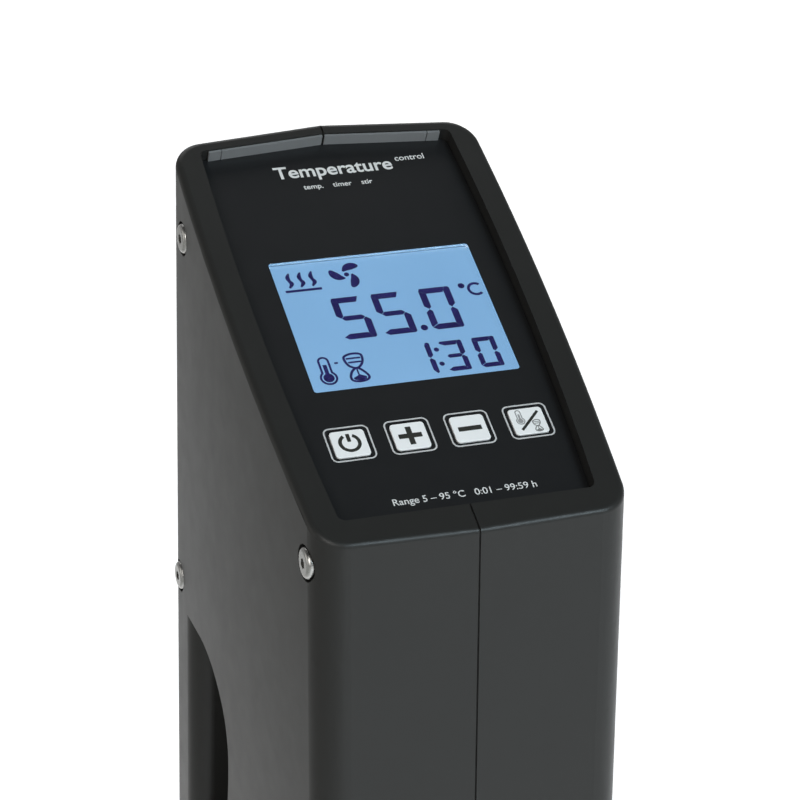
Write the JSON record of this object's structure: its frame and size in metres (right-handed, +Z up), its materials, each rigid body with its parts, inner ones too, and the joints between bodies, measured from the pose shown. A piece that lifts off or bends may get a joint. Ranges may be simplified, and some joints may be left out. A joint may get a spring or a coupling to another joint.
{
  "type": "immersion circulator",
  "caption": "Clamp-on immersion circulator with a sloped display panel, handle opening, caged heater and pump, and a screw clamp for the pot.",
  "frame": {"origin": "centre of the footprint, on the surface the circulator stands on", "axes": "+Z up, front and control panel towards -Y, +X to the user's right"},
  "size_m": [0.106, 0.1922, 0.4203],
  "materials": {
    "housing_black": "satin, fine moulded texture",
    "panel_black": "matt",
    "panel_gloss": "satin gloss film",
    "strip_grey": "satin",
    "window_clear": "clear",
    "display": "backlit display",
    "key_white": "satin",
    "switch_black": "matt",
    "board_green": "solder mask",
    "component_dark": "matt",
    "sink_aluminium": "extruded",
    "screw_steel": "stainless, turned",
    "insert_brass": "plain",
    "inlet_black": "matt",
    "gasket_rubber": "matt",
    "plate_steel": "brushed stainless",
    "polished_steel": "polished stainless",
    "motor_steel": "zinc grey",
    "standoff_brass": "plain",
    "bush_polymer": "natural",
    "heater_steel": "stainless tube",
    "pump_polymer": "glass-filled",
    "fan_black": "matt",
    "float_white": "matt",
    "knob_black": "satin"
  },
  "bodies": {
    "root": {"housing_left": "housing_black", "housing_right": "housing_black", "panel_plate": "panel_black", "panel_overlay": "panel_gloss", "panel_strips": "strip_grey", "lcd_window": "window_clear", "lcd_module": "display", "key_switches": "switch_black", "control_board": "board_green", "power_board": "board_green", "power_components": "component_dark", "heat_sink": "sink_aluminium", "housing_screws": "screw_steel", "board_screws": "screw_steel", "power_board_screws": "screw_steel", "base_screws": "screw_steel", "motor_screws": "screw_steel", "pump_screws": "screw_steel", "inlet_screws": "screw_steel", "screw_inserts": "insert_brass", "inlet_pins": "insert_brass", "mains_inlet": "inlet_black", "base_gasket": "gasket_rubber", "jaw_pad": "gasket_rubber", "rubber_feet": "gasket_rubber", "shaft_seal": "gasket_rubber", "base_plate": "plate_steel", "guard_cage": "plate_steel", "cage_base": "plate_steel", "clamp_bracket": "plate_steel", "bracket_rivets": "plate_steel", "pump_column": "polished_steel", "tie_rods": "polished_steel", "rod_nuts": "polished_steel", "column_nut": "polished_steel", "gland_nuts": "polished_steel", "temperature_probe": "polished_steel", "float_stem": "polished_steel", "motor_can": "motor_steel", "motor_plate": "motor_steel", "motor_bearings": "motor_steel", "motor_standoffs": "standoff_brass", "column_bushes": "bush_polymer", "heater_coil": "heater_steel", "pump_housing": "pump_polymer", "pump_cover": "pump_polymer"},
    "drive": {"motor_shaft": "polished_steel", "motor_rotor": "motor_steel", "cooling_fan": "fan_black", "shaft_coupling": "polished_steel", "pump_shaft": "polished_steel", "impeller": "pump_polymer"},
    "float": {"level_float": "float_white"},
    "clamp_slider": {"clamp_shoe": "knob_black"},
    "clamp_screw": {"clamp_spindle": "polished_steel", "clamp_knob": "knob_black"},
    "key_power_body": {"key_power": "key_white"},
    "key_plus_body": {"key_plus": "key_white"},
    "key_minus_body": {"key_minus": "key_white"},
    "key_mode_body": {"key_mode": "key_white"}
  },
  "joints": [
    {"name": "key_power_press", "type": "slide", "parent": "root", "child": "key_power_body", "axis": [0, 0.4733, -0.8809], "range_m": [0, 0.0004], "stiffness_N_per_m": 3000, "springref_m": -0.0002},
    {"name": "key_plus_press", "type": "slide", "parent": "root", "child": "key_plus_body", "axis": [0, 0.4733, -0.8809], "range_m": [0, 0.0004], "stiffness_N_per_m": 3000, "springref_m": -0.0002},
    {"name": "key_minus_press", "type": "slide", "parent": "root", "child": "key_minus_body", "axis": [0, 0.4733, -0.8809], "range_m": [0, 0.0004], "stiffness_N_per_m": 3000, "springref_m": -0.0002},
    {"name": "key_mode_press", "type": "slide", "parent": "root", "child": "key_mode_body", "axis": [0, 0.4733, -0.8809], "range_m": [0, 0.0004], "stiffness_N_per_m": 3000, "springref_m": -0.0002},
    {"name": "drive_spin", "type": "hinge", "parent": "root", "child": "drive", "pos_m": [0, -0.04888, 0.15], "axis": [0, 0, 1], "continuous": true},
    {"name": "float_rise", "type": "slide", "parent": "root", "child": "float", "axis": [0, 0, 1], "range_m": [0, 0.009]},
    {"name": "clamp_advance", "type": "slide", "parent": "root", "child": "clamp_slider", "axis": [0, -1, 0], "range_m": [0, 0.028]},
    {"name": "clamp_turn", "type": "hinge", "parent": "clamp_slider", "child": "clamp_screw", "pos_m": [0, 0.05912, 0.095], "axis": [0, -1, 0], "range_deg": [0, 6721]}
  ],
  "couplings": [
    {"joint": "clamp_turn", "follows": "clamp_advance", "rad_per_m": 4188.8}
  ]
}
